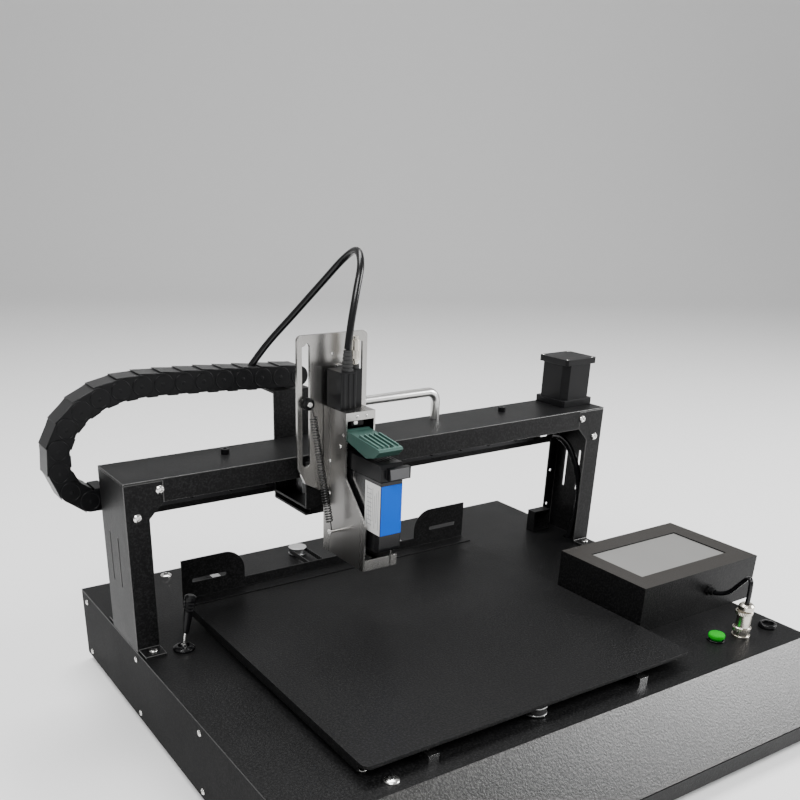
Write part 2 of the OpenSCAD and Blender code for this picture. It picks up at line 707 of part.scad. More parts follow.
// The bed, with a shallow rebate that the fence's flange lies in
module bed_plate() color([0.09, 0.09, 0.1]) {
  right = bed_left + bed_w;
  low = bed_top - bed_t;
  corner = 8;
  difference() {
    translate([0, 0, low]) linear_extrude(bed_t) {
      polygon([[bed_left, bed_back], [bed_left, bed_front + corner], [bed_left + corner, bed_front],
               [right - corner, bed_front], [right, bed_front + corner], [right, bed_back]]);
      for (x = [bed_left + corner, right - corner])
        translate([x, bed_front + corner]) circle(r = corner);
    }
    block([bed_left - 1, bed_back - flange_d - 0.2, bed_top - rebate],
          [right + 1, bed_back + 1, bed_top + 1]);
  }
  for (x = [bed_left, right - 2])
    block([x, bed_front + 12, low - 7], [x + 2, bed_back, low + 1]);
  difference() {
    block([y_belt_x - 22, -75, y_belt_z - 1], [y_belt_x - 6, -35, low + 1]);
    block([y_belt_x - y_pulley_r - belt_gap - belt_t - 0.3, -80, y_belt_z - 2],
          [y_belt_x - y_pulley_r - belt_gap + 0.3, -30, y_belt_z + y_belt_h + 0.4]);
  }
}

module rear_fence() {
  right = bed_left + bed_w;
  ear_w = 84;
  ear_top = bed_top + 52;
  round_r = 26;
  module ear() difference() {
    union() {
      square([ear_w, 26]);
      square([ear_w - round_r, 52]);
      translate([0, 26]) square([ear_w - round_r, 26]);
      translate([ear_w - round_r, 26]) intersection() {
        circle(r = round_r);
        square(round_r);
      }
    }
    translate([ear_w / 2 - 6, 24]) slot(46, 5);
  }
  color([0.07, 0.07, 0.08]) {
    low = bed_top - rebate;
    extrude_y(bed_back - 2, bed_back) {
      translate([bed_left, low]) ear();
      translate([right, low]) mirror([1, 0]) ear();
      translate([bed_left + 10, low]) square([bed_w - 20, 14]);
    }
    block([bed_left, bed_back - flange_d, low], [right, bed_back - 1, low + 2]);
  }
}

module bed_blocks() color("silver") for (x = rail_xs, y = block_ys) difference() {
  block([x - 13.5, y - 17, deck_z + 3], [x + 13.5, y + 17, bed_top - bed_t]);
  block([x - rail_w / 2 - 0.3, y - 18, deck_z + 2], [x + rail_w / 2 + 0.3, y + 18, deck_z + rail_t + 0.3]);
}

// ---- operator panel and deck controls ----

module panel_case() color([0.16, 0.155, 0.15]) difference() {
  top = deck_z + panel_h;
  union() {
    block([panel_x, panel_y, deck_z], [panel_x + panel_w, panel_y + panel_d, top]);
    translate([296, panel_y, deck_z + 30]) rotate([90, 0, 0]) {
      cylinder(r = 7, h = 3, $fn = 6);
      cylinder(r = 5, h = 9);
    }
  }
  block([panel_x + sheet, panel_y + sheet, deck_z + sheet],
        [panel_x + panel_w - sheet, panel_y + panel_d - sheet, top - sheet]);
  block([screen_x[0], screen_y[0], top - 5], [screen_x[1], screen_y[1], top + 1]);
  translate([296, panel_y + 3, deck_z + 30]) rotate([90, 0, 0]) cylinder(r = 3.4, h = 20);
}

module touch_screen() color([0.55, 0.55, 0.55])
  block([screen_x[0] - 6, screen_y[0] - 6, deck_z + panel_h - sheet - 6],
        [screen_x[1] + 6, screen_y[1] + 6, deck_z + panel_h - sheet]);

module panel_cable() color([0.04, 0.04, 0.04]) lead(panel_cable_route, 2.7, 5, 12);

// Button and switch collars, the round socket with its plug, and the lever's collar
module deck_controls() {
  color([0.06, 0.06, 0.06]) translate([button_xy.x, button_xy.y, deck_z]) difference() {
    union() {
      cylinder(r = 10.5, h = 2);
      translate([0, 0, -14]) cylinder(r = 8, h = 15);
    }
    translate([0, 0, -8]) cylinder(r = 7, h = 20);
  }
  color([0.04, 0.04, 0.04]) translate([switch_xy.x, switch_xy.y, deck_z]) difference() {
    union() {
      rotate_extrude() polygon([[0, 0], [10.5, 0], [10.5, 3], [9.4, 5], [7.4, 5.6], [0, 5.6]]);
      translate([0, 0, -14]) cylinder(r = 8, h = 15);
    }
    translate([0, 0, -8]) cylinder(r = 6.8, h = 20);
  }
  color("silver") translate([socket_xy.x, socket_xy.y, deck_z]) difference() {
    rotate_extrude() polygon([[0, -12], [8, -12], [8, 0], [10.5, 0], [10.5, 3], [9, 3], [9, 9],
      [10, 9.6], [10, 13], [8.6, 13.6], [8.2, 30], [8.8, 30.6], [8.8, 40], [6.5, 42.4],
      [0, 42.4]]);
    translate([0, 0, 35]) cylinder(r = 3.3, h = 10);
  }
  color([0.05, 0.05, 0.05]) translate([lever_xy.x, lever_xy.y, deck_z]) difference() {
    union() {
      rotate_extrude() polygon([[0, 0], [12.5, 0], [12.5, 2.4], [10, 4], [7.5, 5], [0, 5]]);
      translate([0, 0, -14]) cylinder(r = 8, h = 15);
    }
    translate([0, 0, -6]) cylinder(r = 6.6, h = 14);
  }
}

module start_button() color([0.1, 0.85, 0.2]) translate([button_xy.x, button_xy.y, deck_z])
  rotate_extrude() polygon([[0, -4], [6.8, -4], [6.8, 4.4], [9.4, 4.4], [9.4, 7.2], [8.4, 8.8], [0, 9.6]]);

module power_button() color([0.04, 0.04, 0.04])
  translate([switch_xy.x, switch_xy.y, deck_z])
    rotate_extrude() polygon([[0, -4], [6.7, -4], [6.7, 2.2], [5.6, 2.8], [0, 2.2]]);

// A tapered grip on a bright stem, leaning to the right
module jog_lever() translate([lever_xy.x, lever_xy.y, lever_z - 4]) rotate([0, lever_tilt, 0]) {
  color("silver") {
    sphere(r = 5);
    rotate([90, 0, 0]) cylinder(r = 2.2, h = 12.4, center = true);
    cylinder(r = 2.2, h = 30);
  }
  color([0.05, 0.05, 0.05]) translate([0, 0, 18])
    rotate_extrude() polygon([[0, 0], [3.4, 0], [4.2, 10], [5.4, 26], [6.2, 28], [5.6, 30],
      [6.4, 32], [5.8, 34], [6.6, 36], [6, 38], [6.8, 40], [6.6, 44], [4, 46], [0, 46]]);
}

rubber_feet();
base_pan();
deck_cover();
left_side_panel();
right_side_panel();
rear_panel();
power_inlet();
deck_screws();
panel_screws();
power_supply();
control_board();
left_column();
right_column();
beam_cover();
gantry_screws();
carry_handle();
x_motor();
x_drive_pulley();
x_idler_pulley();
idler_axles();
x_belt();
x_rail();
x_rail_block();
carriage_bracket();
belt_clamp();
slot_plate();
z_rail();
chain_arm();
cable_chain();
chain_anchor();
column_conduit();
conduit_cover();
head_cable();
clamp_knob();
tension_spring();
head_housing();
head_block();
z_rail_block();
head_connector();
cable_boot();
metal_connector();
head_pins();
ink_cartridge();
cartridge_cap();
latch_lever();
y_rails();
y_belt();
y_motor();
y_drive_pulley();
y_idler_pulley();
bed_plate();
rear_fence();
bed_blocks();
panel_case();
touch_screen();
panel_cable();
deck_controls();
start_button();
power_button();
jog_lever();
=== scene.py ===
import math

import bmesh
import bpy
from mathutils import Matrix, Vector


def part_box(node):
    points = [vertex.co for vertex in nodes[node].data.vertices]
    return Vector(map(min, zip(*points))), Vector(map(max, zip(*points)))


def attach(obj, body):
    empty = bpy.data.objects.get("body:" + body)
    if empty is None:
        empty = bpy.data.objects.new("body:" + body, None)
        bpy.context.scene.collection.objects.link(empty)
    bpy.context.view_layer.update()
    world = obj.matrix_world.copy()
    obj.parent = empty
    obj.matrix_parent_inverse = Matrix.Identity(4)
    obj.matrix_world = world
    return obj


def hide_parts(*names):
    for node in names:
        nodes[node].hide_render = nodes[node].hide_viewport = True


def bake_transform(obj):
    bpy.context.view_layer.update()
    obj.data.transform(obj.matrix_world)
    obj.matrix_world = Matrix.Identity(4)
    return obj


# Flatbed date code inkjet printer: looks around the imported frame.
# Every length below is in millimetres unless its name says otherwise; MM turns it into metres.
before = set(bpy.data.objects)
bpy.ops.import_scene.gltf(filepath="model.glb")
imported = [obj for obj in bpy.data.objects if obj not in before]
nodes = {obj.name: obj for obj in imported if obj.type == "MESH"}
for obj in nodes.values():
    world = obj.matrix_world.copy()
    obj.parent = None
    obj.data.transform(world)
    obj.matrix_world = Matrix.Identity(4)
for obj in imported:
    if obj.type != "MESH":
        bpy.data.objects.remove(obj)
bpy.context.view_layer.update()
MM = 0.001


def cad(node):
    """Lowest and highest corner of a CAD node, in millimetres."""
    low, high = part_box(node)
    return low / MM, high / MM


def show(obj):
    """Puts a new object in the scene."""
    bpy.context.scene.collection.objects.link(obj)


# ---------------------------------------------------------------- camera
CAMERA_PLACE = Vector((-646.0, -823.8, 603.9))
CAMERA_YAW, CAMERA_PITCH, CAMERA_ROLL = 31.845, 24.989, 0.627
CAMERA_LENS, SENSOR = 41.815, 36.0
CAMERA_SHIFT = (0.078, 0.247)


def make_camera():
    """The camera, as solved from the straight edges of the base and gantry."""
    yaw, pitch, roll = (math.radians(a) for a in (CAMERA_YAW, CAMERA_PITCH, CAMERA_ROLL))
    ahead = Vector((math.sin(yaw) * math.cos(pitch), math.cos(yaw) * math.cos(pitch),
                    -math.sin(pitch)))
    side = Vector((math.cos(yaw), -math.sin(yaw), 0))
    up = side.cross(ahead)
    right = side * math.cos(roll) + up * math.sin(roll)
    top = up * math.cos(roll) - side * math.sin(roll)
    data = bpy.data.cameras.new("camera")
    data.lens, data.sensor_width = CAMERA_LENS, SENSOR
    data.shift_x, data.shift_y = CAMERA_SHIFT
    data.clip_start, data.clip_end = 0.05, 60
    camera = bpy.data.objects.new("camera", data)
    camera.matrix_world = Matrix.Translation(CAMERA_PLACE * MM) @ Matrix(
        (right, top, -ahead)).transposed().to_4x4()
    show(camera)
    bpy.context.scene.camera = camera


make_camera()


# ---------------------------------------------------------------- mesh helpers
def smooth_route(points, steps):
    """A smooth curve through points, with steps places in each span."""
    p = [Vector(q) for q in points]
    p = [2 * p[0] - p[1]] + p + [2 * p[-1] - p[-2]]
    out = []
    for a, b, c, d in zip(p, p[1:], p[2:], p[3:]):
        for k in range(steps):
            t = k / steps
            out.append(0.5 * (2 * b + (c - a) * t + (2 * a - 5 * b + 4 * c - d) * t * t
                              + (3 * b - a - 3 * c + d) * t ** 3))
    return out + [p[-2]]


def route_length(points):
    """The length of a line through points."""
    return sum((b - a).length for a, b in zip(points, points[1:]))


def add_tube(bm, path, radius, sides):
    """A round tube along path, closed at both ends."""
    tangents = [(path[min(i + 1, len(path) - 1)] - path[max(i - 1, 0)]).normalized()
                for i in range(len(path))]
    normal = tangents[0].orthogonal().normalized()
    rings = []
    for point, tangent in zip(path, tangents):
        normal = (normal - tangent * normal.dot(tangent)).normalized()
        across = tangent.cross(normal)
        ring = []
        for k in range(sides):
            a = 2 * math.pi * k / sides
            spoke = math.cos(a) * normal + math.sin(a) * across
            ring.append(bm.verts.new((point + radius * spoke) * MM))
        rings.append(ring)
    for a, b in zip(rings, rings[1:]):
        for k in range(sides):
            bm.faces.new((a[k], a[(k + 1) % sides], b[(k + 1) % sides], b[k]))
    bm.faces.new(rings[0][::-1])
    bm.faces.new(rings[-1])


def add_lathe(bm, profile, place, axis=(0, 0, 1), sides=32, material=0, wobble=None):
    """Turns a profile of (radius, height) points about axis. wobble takes a side's number and
    gives what to add to the radius there."""
    turn = Vector((0, 0, 1)).rotation_difference(Vector(axis)).to_matrix()
    rings = []
    for r, z in profile:
        if r < 1e-6:
            rings.append([bm.verts.new((Vector(place) + turn @ Vector((0, 0, z))) * MM)])
            continue
        ring = []
        for k in range(sides):
            a = 2 * math.pi * k / sides
            q = r + (wobble(k) if wobble else 0)
            spoke = Vector((q * math.cos(a), q * math.sin(a), z))
            ring.append(bm.verts.new((Vector(place) + turn @ spoke) * MM))
        rings.append(ring)
    for a, b in zip(rings, rings[1:]):
        for k in range(sides):
            n = (k + 1) % sides
            # A ring of one vertex is a point on the axis, so its repeats are dropped
            corners = [a[k % len(a)], a[n % len(a)], b[n % len(b)], b[k % len(b)]]
            corners = list(dict.fromkeys(corners))
            if len(corners) > 2:
                bm.faces.new(corners).material_index = material


def add_prism(bm, outline, depth, matrix, material=0):
    """An outline of (x, z) points in the matrix's own plane, made depth thick along its Y."""
    near = [bm.verts.new((matrix @ Vector((x, depth[0], z))) * MM) for x, z in outline]
    far = [bm.verts.new((matrix @ Vector((x, depth[1], z))) * MM) for x, z in outline]
    faces = [bm.faces.new(near), bm.faces.new(far[::-1])]
    faces += [bm.faces.new((near[k], far[k], far[(k + 1) % len(far)], near[(k + 1) % len(near)]))
              for k in range(len(near))]
    for f in faces:
        f.material_index = material


def add_box(bm, low, high, matrix=Matrix.Identity(4), material=0):
    """A box between two corners."""
    outline = [(low[0], low[2]), (high[0], low[2]), (high[0], high[2]), (low[0], high[2])]
    add_prism(bm, outline, (low[1], high[1]), matrix, material)


def piece(name, bm, materials, body=None, bevel=0.0, angle=35):
    """A new mesh object from bm, shaded by angle, bevelled, and riding on body."""
    bmesh.ops.recalc_face_normals(bm, faces=bm.faces)
    mesh = bpy.data.meshes.new(name)
    bm.to_mesh(mesh)
    bm.free()
    mesh.shade_smooth()
    mesh.set_sharp_from_angle(angle=math.radians(angle))
    for m in materials:
        mesh.materials.append(m)
    obj = bpy.data.objects.new(name, mesh)
    show(obj)
    if bevel:
        add_bevel(obj, bevel)
    if body:
        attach(obj, body)
    return obj


BEVEL_ANGLE = 32


def add_bevel(obj, width, segments=2, edge_index=-1):
    """Soft edges with smooth shading. edge_index is the bevels' own material, or -1 for none."""
    bevel = obj.modifiers.new("edges", "BEVEL")
    bevel.width, bevel.segments = width * MM, segments
    bevel.limit_method, bevel.angle_limit = "ANGLE", math.radians(BEVEL_ANGLE)
    bevel.miter_outer = "MITER_ARC"
    bevel.material = edge_index
    bevel.use_clamp_overlap = edge_index < 0
    normals = obj.modifiers.new("normals", "WEIGHTED_NORMAL")
    normals.keep_sharp = True
    normals.weight = 100


# ---------------------------------------------------------------- materials
def surface(name, colour, rough, metallic=0.0, tone=0.2, tone_scale=18, grain_scale=900,
            grain=0.15, depth=0.1, stretch=(1, 1, 1), rough_span=0.06, speck=None, coat=0.0,
            coat_rough=0.1, specular=0.5, emission=0.0, waves=None):
    """A procedural finish: mottled colour and roughness, a fine grain as bump, optional specks
    and machined or moulded lines. stretch pulls the pattern along an axis, for brushing."""
    m = bpy.data.materials.new(name)
    m.use_nodes = True
    tree = m.node_tree
    shader = tree.nodes["Principled BSDF"]
    link = tree.links.new

    def node(kind, **inputs):
        n = tree.nodes.new(kind)
        for key, value in inputs.items():
            n.inputs[key].default_value = value
        return n

    place = node("ShaderNodeTexCoord")
    mapping = node("ShaderNodeMapping", Scale=stretch)
    link(place.outputs["Object"], mapping.inputs["Vector"])
    broad = node("ShaderNodeTexNoise", Scale=tone_scale, Detail=4.0, Roughness=0.6)
    fine = node("ShaderNodeTexNoise", Scale=grain_scale, Detail=3.0, Roughness=0.65)
    for n in (broad, fine):
        link(mapping.outputs["Vector"], n.inputs["Vector"])
    mix = node("ShaderNodeMix")
    mix.data_type = "RGBA"
    mix.inputs["A"].default_value = (*[c * (1 - tone) for c in colour], 1)
    mix.inputs["B"].default_value = (*[min(1, c * (1 + tone)) for c in colour], 1)
    link(broad.outputs["Fac"], mix.inputs["Factor"])
    last = mix.outputs["Result"]
    if speck:
        dots = node("ShaderNodeMapRange", **{"From Min": 0.46, "From Max": 0.66})
        link(fine.outputs["Fac"], dots.inputs["Value"])
        over = node("ShaderNodeMix")
        over.data_type = "RGBA"
        over.inputs["B"].default_value = (*speck, 1)
        link(dots.outputs["Result"], over.inputs["Factor"])
        link(last, over.inputs["A"])
        last = over.outputs["Result"]
    link(last, shader.inputs["Base Color"])
    span = node("ShaderNodeMapRange",
                **{"To Min": max(0.02, rough - rough_span), "To Max": min(1, rough + rough_span)})
    link(broad.outputs["Fac"] if grain_scale > 400 else fine.outputs["Fac"], span.inputs["Value"])
    link(span.outputs["Result"], shader.inputs["Roughness"])
    bump = node("ShaderNodeBump", Strength=grain, Distance=depth * MM)
    height = fine.outputs["Fac"]
    if waves:
        axis, scale, share = waves
        lines = node("ShaderNodeTexWave", Scale=scale, Distortion=0.0)
        lines.bands_direction = axis
        link(place.outputs["Object"], lines.inputs["Vector"])
        both = node("ShaderNodeMix")
        both.inputs["Factor"].default_value = share
        link(fine.outputs["Fac"], both.inputs["A"])
        link(lines.outputs["Fac"], both.inputs["B"])
        height = both.outputs["Result"]
    link(height, bump.inputs["Height"])
    link(bump.outputs["Normal"], shader.inputs["Normal"])
    shader.inputs["Metallic"].default_value = metallic
    shader.inputs["Specular IOR Level"].default_value = specular
    shader.inputs["Coat Weight"].default_value = coat
    shader.inputs["Coat Roughness"].default_value = coat_rough
    if emission:
        shader.inputs["Emission Color"].default_value = (*colour, 1)
        shader.inputs["Emission Strength"].default_value = emission
    m.diffuse_color = (*colour, 1)
    return m


BRUSH_Z, BRUSH_X = (1, 1, 0.02), (0.02, 1, 1)
powder = surface("powder_black", (0.003, 0.003, 0.0032), 0.42, grain_scale=450, grain=0.8,
                 depth=0.3, speck=(0.013, 0.013, 0.0133), specular=0.14)
# A lighter copy of the powder for bevel faces: a painted highlight along the edges
edge_painted_highlight = surface("powder_edge_painted_highlight", (0.05, 0.05, 0.049), 0.25, grain_scale=1000, grain=0.4,
                    depth=0.1, specular=0.6)
# A lighter copy of the powder for the deck's front slope: the lighter colour is a painted
# reflection of the bright room
slope_painted_reflection = surface("powder_front_painted_reflection", (0.014, 0.0138, 0.0132), 0.30, grain_scale=450, grain=0.9,
                       depth=0.4, speck=(0.045, 0.044, 0.042), specular=0.5)
side_powder = surface("powder_side", (0.004, 0.004, 0.0043), 0.5, grain_scale=450, grain=0.6,
                      depth=0.2, speck=(0.012, 0.012, 0.0122), specular=0.03)
bezel = surface("powder_grey", (0.016, 0.0143, 0.0128), 0.5, grain_scale=1300, grain=0.4,
                depth=0.1, speck=(0.034, 0.031, 0.028), specular=0.3)
black_plastic = surface("black_plastic", (0.0035, 0.0035, 0.004), 0.3, grain_scale=1100,
                        grain=0.25, depth=0.06, tone=0.3, specular=0.2)
chain_plastic = surface("chain_plastic", (0.0035, 0.0035, 0.004), 0.38, grain_scale=900,
                        grain=0.3, depth=0.08, tone=0.35, specular=0.16)
# A lighter copy of the chain plastic for the outer bars: a painted highlight on the chain's top
chain_bar_painted_highlight = surface("chain_bar_painted_highlight", (0.007, 0.007, 0.0075), 0.34, grain_scale=900, grain=0.2,
                    depth=0.05, specular=0.28)
gloss_black = surface("gloss_black", (0.004, 0.004, 0.0045), 0.14, grain_scale=700, grain=0.05,
                      depth=0.02, specular=0.35)
cartridge_black = surface("cartridge_black", (0.0045, 0.0045, 0.005), 0.2, grain_scale=1000,
                          grain=0.12, depth=0.04, tone=0.3, specular=0.3)
cap_grey = surface("cap_grey", (0.055, 0.055, 0.058), 0.4, grain_scale=900, grain=0.2, depth=0.04)
rubber = surface("rubber", (0.016, 0.016, 0.016), 0.75, grain_scale=700, grain=0.4, depth=0.1,
                 tone=0.35)
belt_rubber = surface("belt_rubber", (0.014, 0.014, 0.014), 0.62, grain_scale=900, grain=0.3,
                      depth=0.08)
sheath = surface("cable_sheath", (0.004, 0.004, 0.0045), 0.22, grain_scale=500, grain=0.12,
                 depth=0.05, tone=0.35, specular=0.35)
screw_steel = surface("screw_steel", (0.78, 0.77, 0.75), 0.22, 1, grain_scale=600, grain=0.06,
                      depth=0.03, tone=0.12)
spring_wire = surface("spring_wire", (0.055, 0.055, 0.055), 0.3, 1, grain_scale=900, grain=0.1,
                      depth=0.03, tone=0.25)
rail_steel = surface("rail_steel", (0.62, 0.62, 0.62), 0.24, 1, grain_scale=900, grain=0.12,
                     depth=0.03, stretch=BRUSH_X, tone=0.12)
black_oxide = surface("black_oxide", (0.022, 0.022, 0.024), 0.35, 0.6, grain_scale=900,
                      grain=0.12, depth=0.03, stretch=BRUSH_X)
stainless = surface("stainless", (0.40, 0.392, 0.378), 0.26, 1, grain_scale=1300, grain=0.18,
                    depth=0.03, stretch=BRUSH_Z, tone=0.08, tone_scale=60, rough_span=0.05)
# A darker copy of the stainless for the housing's left-facing sides: painted shade
housing_steel_painted_shade = surface("housing_steel_painted_shade", (0.20, 0.195, 0.188), 0.28, 1, grain_scale=1300,
                        grain=0.18, depth=0.03, stretch=BRUSH_Z, tone=0.08, tone_scale=60)
aluminium = surface("aluminium", (0.72, 0.72, 0.72), 0.35, 1, grain_scale=800, grain=0.15,
                    depth=0.04, tone=0.1)
satin_bar = surface("satin_bar", (0.72, 0.715, 0.70), 0.3, 1, grain_scale=900, grain=0.15,
                    depth=0.03, stretch=BRUSH_X, tone=0.1)
brass_nickel = surface("nickel", (0.62, 0.585, 0.52), 0.25, 1, grain_scale=900, grain=0.12,
                       depth=0.03, tone=0.15)
motor_body = surface("motor_body", (0.004, 0.004, 0.0045), 0.38, grain_scale=900, grain=0.3,
                     depth=0.12, waves=("Z", 320, 0.75), specular=0.15)
motor_end = surface("motor_end", (0.005, 0.005, 0.0055), 0.42, grain_scale=900, grain=0.4,
                    depth=0.1, specular=0.15)
motor_top = surface("motor_top", (0.10, 0.10, 0.102), 0.4, 0.6, grain_scale=900, grain=0.3,
                    depth=0.06, tone=0.25)
green_plastic = surface("green_plastic", (0.022, 0.060, 0.049), 0.42, grain_scale=900,
                        grain=0.25, depth=0.06, tone=0.2)
# A lighter copy of the lever's green for its upward-facing rib tops: a painted highlight
green_rib_painted_highlight = surface("green_rib_painted_highlight", (0.055, 0.125, 0.105), 0.4, grain_scale=900, grain=0.2, depth=0.04)
# The green is the button's own; its faint emission is a painted glow that brightens it
green_lens = surface("green_lens", (0.0, 0.30, 0.012), 0.4, grain_scale=400, grain=0.1,
                     depth=0.05, tone=0.08, specular=0.04, emission=0.06)
# The screen is off; its grey colour is a painted reflection of the bright room
screen_painted_reflection = surface("screen_painted_reflection", (0.17, 0.1685, 0.163), 0.4, grain_scale=1600, grain=0.12,
                      depth=0.03, tone=0.1, tone_scale=9, coat=0.2, coat_rough=0.3)
label_blue = surface("label_blue", (0.0, 0.085, 0.52), 0.45, grain_scale=700, grain=0.06,
                     depth=0.02, tone=0.06, specular=0.08)
label_white = surface("label_white", (0.62, 0.62, 0.61), 0.4, grain_scale=700, grain=0.08,
                      depth=0.02, tone=0.06)
label_ink = surface("label_ink", (0.24, 0.24, 0.25), 0.5, grain_scale=700, grain=0.08,
                    depth=0.02)
circuit = surface("circuit_board", (0.012, 0.11, 0.05), 0.35, grain_scale=260, grain=0.3,
                  depth=0.05, tone=0.3, coat=0.3)
chip = surface("chip", (0.02, 0.02, 0.02), 0.5, grain_scale=800, grain=0.2, depth=0.05)
# A dark fill for screw recesses: painted shade where the hollow would be
recess_painted_shade = surface("recess", (0.03, 0.03, 0.03), 0.6, 0.5, grain_scale=900, grain=0.2,
                    depth=0.04)


# ---------------------------------------------------------------- cords
HEAD_CABLE_R, PANEL_CABLE_R, CONDUIT_R = 4.0, 2.7, 4.5
HEAD_CABLE = [
    (-150, 187, 378), (-128, 174, 411), (-104, 152, 446), (-82, 126, 482), (-70, 98, 510),
    (-70, 72, 520), (-79, 50, 508), (-91, 39, 482), (-100, 34, 452), (-104.5, 33, 424.8)]
PANEL_CABLE = [
    (296, -179, 132), (296, -188, 132), (295, -204, 140), (290, -220, 158),
    (284, -232, 171), (279, -240, 172), (278, -242, 160), (278, -242, 144)]
CONDUIT = [
    (286, 112, 262), (302, 111, 257), (319, 106, 240), (332, 99, 208),
    (338, 95, 174), (338, 96, 142), (336, 99, 118), (334, 102, 97)]


ROUTE_STEPS, CORD_SIDES = 6, 20


def make_cord(name, route, radius, node, body, blend=None):
    """A cord that rides on body, or is baked in place in the scene where blend is given."""
    path = smooth_route(route, ROUTE_STEPS)
    bm = bmesh.new()
    add_tube(bm, path, radius, CORD_SIDES)
    obj = piece(name, bm, [sheath], angle=60)
    if blend:
        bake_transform(obj)
    else:
        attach(obj, body)
    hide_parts(node)
    route_length(path) * MM
    return obj


make_cord("head_cable_loop", HEAD_CABLE, HEAD_CABLE_R, "head_cable", None,
          ("carriage", "head", (0, 0.150, 0), (0, 0.046, 0)))
make_cord("panel_lead", PANEL_CABLE, PANEL_CABLE_R, "panel_cable", "frame")
make_cord("column_conduit_lead", CONDUIT, CONDUIT_R, "column_conduit", "frame")


# ---------------------------------------------------------------- CAD nodes that stay in view
WELD_M, FLAT_ANGLE = 2e-6, 0.5


def paint(names, material, bevel=0.5, extra=(), segments=2, edge=None):
    """Gives CAD nodes a material and soft edges. extra is (material, test) pairs, where test
    takes a face's middle and normal in millimetres. edge is the bevels' own material."""
    for name in names.split():
        obj = nodes[name]
        mesh = obj.data
        if "custom_normal" in mesh.attributes:
            mesh.attributes.remove(mesh.attributes["custom_normal"])
        mesh.materials.clear()
        for m in [material] + [e[0] for e in extra]:
            mesh.materials.append(m)
        for face in mesh.polygons if extra else ():
            middle, normal = face.center / MM, face.normal
            face.material_index = 0
            for i, (_, test) in enumerate(extra):
                if test(middle, normal):
                    face.material_index = i + 1
        # Flat faces are made whole before the bevel, which would fold their thin triangles
        weld = obj.modifiers.new("weld", "WELD")
        weld.merge_threshold = WELD_M
        flat = obj.modifiers.new("flat", "DECIMATE")
        flat.decimate_type, flat.angle_limit = "DISSOLVE", math.radians(FLAT_ANGLE)
        flat.delimit = {"MATERIAL"}
        mesh.shade_smooth()
        if edge:
            mesh.materials.append(edge)
        if bevel:
            add_bevel(obj, bevel, segments, edge_index=len(mesh.materials) - 1 if edge else -1)


deck_top = cad("deck_cover")[1].z
beam_low, beam_high = cad("beam_cover")
socket_x = cad("panel_cable")[0].x
motor_low, motor_high = cad("x_motor")
plate_low, plate_high = cad("slot_plate")
head_low, head_high = cad("head_housing")
cart_low, cart_high = cad("ink_cartridge")
round_low, round_high = cad("metal_connector")
y_motor_low, y_motor_high = cad("y_motor")
lever_low = cad("jog_lever")[0]
# Distances that part one finish from another on the same node
CASE_SIDE_H, CAP_SCREW_DROP, CONNECTOR_FOOT_H = 40, 8, 5
MOTOR_CAP, MOTOR_FLANGE, Y_MOTOR_END = 9, 10, 9
STEM_LOW, STEM_HIGH = 9, 22
BEAM_FRONT_STRIP, MOTOR_TOP_SKIN, LATCH_RIBS_D, CHIP_Z = 20, 1, 10, 20
SOCKET_REACH, SOCKET_BACK_Y = 11, -225

# The bevel faces here take the lighter edge material, a painted highlight along the edges
paint("left_column right_column beam_cover", powder, 0.7, edge=edge_painted_highlight)
paint("rear_panel carriage_bracket chain_arm bed_plate rear_fence chain_anchor "
      "conduit_cover base_pan", powder, 0.45)
paint("left_side_panel right_side_panel", side_powder, 0.45)
# The front slope faces take the lighter copy, a painted reflection
paint("deck_cover", powder, 0.8,
      [(slope_painted_reflection, lambda c, n: n.y < -0.5 and n.z > 0.3)], 3)
paint("panel_case", bezel, 0.7,
      [(powder, lambda c, n: n.z < 0.5 or c.z < deck_top + CASE_SIDE_H)], 3)
paint("rubber_feet", rubber, 0.8)
paint("power_inlet clamp_knob head_block head_connector", black_plastic, 0.5)
paint("cable_boot", rubber, 0.2)
paint("panel_screws gantry_screws head_pins idler_axles", screw_steel, 0.25,
      [(black_plastic, lambda c, n: c.z > beam_high.z - CAP_SCREW_DROP
        and c.y > beam_low.y + BEAM_FRONT_STRIP)])
paint("x_rail", black_oxide, 0.3)
paint("y_rails z_rail x_rail_block z_rail_block bed_blocks", rail_steel, 0.3)
paint("slot_plate", stainless, 0.4)
# The left-facing faces take the darker copy, painted shade
paint("head_housing", stainless, 0.4, [(housing_steel_painted_shade, lambda c, n: n.x < -0.5)])
paint("x_drive_pulley x_idler_pulley y_drive_pulley y_idler_pulley belt_clamp power_supply",
      aluminium, 0.3)
paint("carry_handle", satin_bar, 0.3)
paint("metal_connector", brass_nickel, 0.25,
      [(rubber, lambda c, n: c.z < round_low.z + CONNECTOR_FOOT_H)])
paint("x_motor", motor_body, 0.4,
      [(motor_top, lambda c, n: n.z > 0.9 and c.z > motor_high.z - MOTOR_TOP_SKIN),
       (motor_end, lambda c, n: c.z > motor_high.z - MOTOR_CAP
        or c.z < motor_low.z + MOTOR_FLANGE)])
paint("y_motor", motor_body, 0.4,
      [(motor_end, lambda c, n: c.z > y_motor_high.z - Y_MOTOR_END
        or c.z < y_motor_low.z + Y_MOTOR_END)])
# The upward rib faces take the lighter green, a painted highlight
paint("latch_lever", green_plastic, 0.35,
      [(green_rib_painted_highlight, lambda c, n: n.z > 0.8 and c.y < head_low.y + LATCH_RIBS_D)])
paint("ink_cartridge", cartridge_black, 1.2, segments=4)
paint("cartridge_cap", black_plastic, 0.9, segments=3)
paint("touch_screen", black_plastic, 0.2)
paint("control_board", circuit, 0.15, [(chip, lambda c, n: c.z > CHIP_Z)])
paint("deck_controls", gloss_black, 0.35,
      [(brass_nickel, lambda c, n: abs(c.x - socket_x) < SOCKET_REACH and c.y < SOCKET_BACK_Y)])
